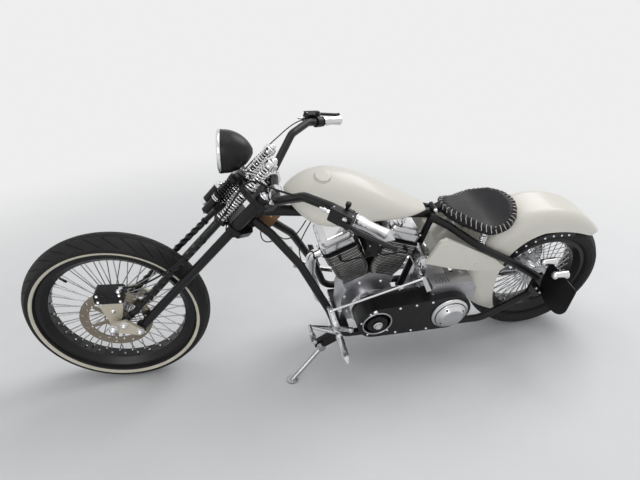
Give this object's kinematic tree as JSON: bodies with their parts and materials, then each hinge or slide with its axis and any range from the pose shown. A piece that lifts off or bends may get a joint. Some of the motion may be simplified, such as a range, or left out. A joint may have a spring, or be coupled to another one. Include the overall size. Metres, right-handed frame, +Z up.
{
  "type": "motorcycle",
  "caption": "Long, low chopper motorcycle with a springer fork, wide pull-back handlebar, open V-twin engine, sprung solo seat and wire wheels, leaning on its side stand.",
  "frame": {"origin": "on the ground under the middle of the bounding box, the machine leaning on its side stand", "axes": "+X forward, +Y to the rider's left, +Z up"},
  "size_m": [2.6237, 1.0824, 1.1241],
  "materials": {
    "frame_black": "satin",
    "cream_paint": "gloss",
    "bronze_paint": "satin",
    "chrome": "polished",
    "polished_aluminium": "polished",
    "cast_aluminium": "cast",
    "engine_black": "wrinkle",
    "steel": "brushed",
    "tyre_rubber": "matt",
    "belt_rubber": "matt",
    "seat_leather": "soft sheen",
    "lamp_glass": "clear",
    "red_glass": "tinted"
  },
  "bodies": {
    "frame": {"air_cleaner": "engine_black", "belt_guard": "frame_black", "clutch_dome": "frame_black", "coil_cover": "engine_black", "crankcase": "cast_aluminium", "cylinder_front": "engine_black", "cylinder_rear": "engine_black", "drive_belt": "belt_rubber", "exhaust": "chrome", "foot_controls": "frame_black", "frame_backbone": "frame_black", "frame_crossmembers": "frame_black", "frame_lower_left": "frame_black", "frame_lower_right": "frame_black", "frame_upper_left": "frame_black", "frame_upper_right": "frame_black", "front_pulley": "polished_aluminium", "fuel_tank": "cream_paint", "gearbox": "cast_aluminium", "gusset_panel": "bronze_paint", "motor_plate": "polished_aluminium", "oil_tank": "cream_paint", "plate_holder": "frame_black", "primary_belt": "belt_rubber", "primary_cover": "cast_aluminium", "pushrod_tubes": "chrome", "rear_axle": "steel", "rear_fender": "cream_paint", "rocker_boxes": "polished_aluminium", "seat": "seat_leather", "seat_springs": "chrome", "shift_rod": "steel", "stand_bracket": "frame_black", "starter": "engine_black", "tail_lamps": "frame_black", "tail_lenses": "red_glass", "tank_cap": "chrome"},
    "fork": {"fork_legs": "frame_black", "fork_trees": "frame_black", "spring_fork": "frame_black", "fork_springs": "steel", "rockers": "steel", "fork_shock": "chrome", "handlebar": "chrome", "grips": "polished_aluminium", "levers": "chrome", "headlight": "chrome", "headlight_lens": "lamp_glass", "lamp_bracket": "frame_black", "caliper_bracket": "frame_black", "caliper_front": "frame_black"},
    "front_wheel": {"front_tyre": "tyre_rubber", "front_rim": "frame_black", "front_spokes": "steel", "front_disc": "bronze_paint"},
    "rear_wheel": {"rear_tyre": "tyre_rubber", "rear_rim": "frame_black", "rear_spokes": "steel", "rear_pulley": "polished_aluminium"},
    "side_stand": {"side_stand": "frame_black"}
  },
  "joints": [
    {"name": "steering", "type": "hinge", "parent": "frame", "child": "fork", "pos_m": [0.36104, -0.0477, 0.80284], "axis": [-0.6521, 0.1898, 0.734], "range_deg": [-20.8, 35.2]},
    {"name": "front_wheel_spin", "type": "hinge", "parent": "fork", "child": "front_wheel", "pos_m": [0.94324, -0.17953, 0.36567], "axis": [0.095, 0.981, -0.1693], "continuous": true},
    {"name": "rear_wheel_spin", "type": "hinge", "parent": "frame", "child": "rear_wheel", "pos_m": [-0.98388, -0.17234, 0.3209], "axis": [0, 0.9681, -0.2504], "continuous": true},
    {"name": "side_stand_fold", "type": "hinge", "parent": "frame", "child": "side_stand", "pos_m": [0.11414, -0.02484, 0.14038], "axis": [-0.159, 0.9558, -0.2472], "range_deg": [0, 120]}
  ]
}
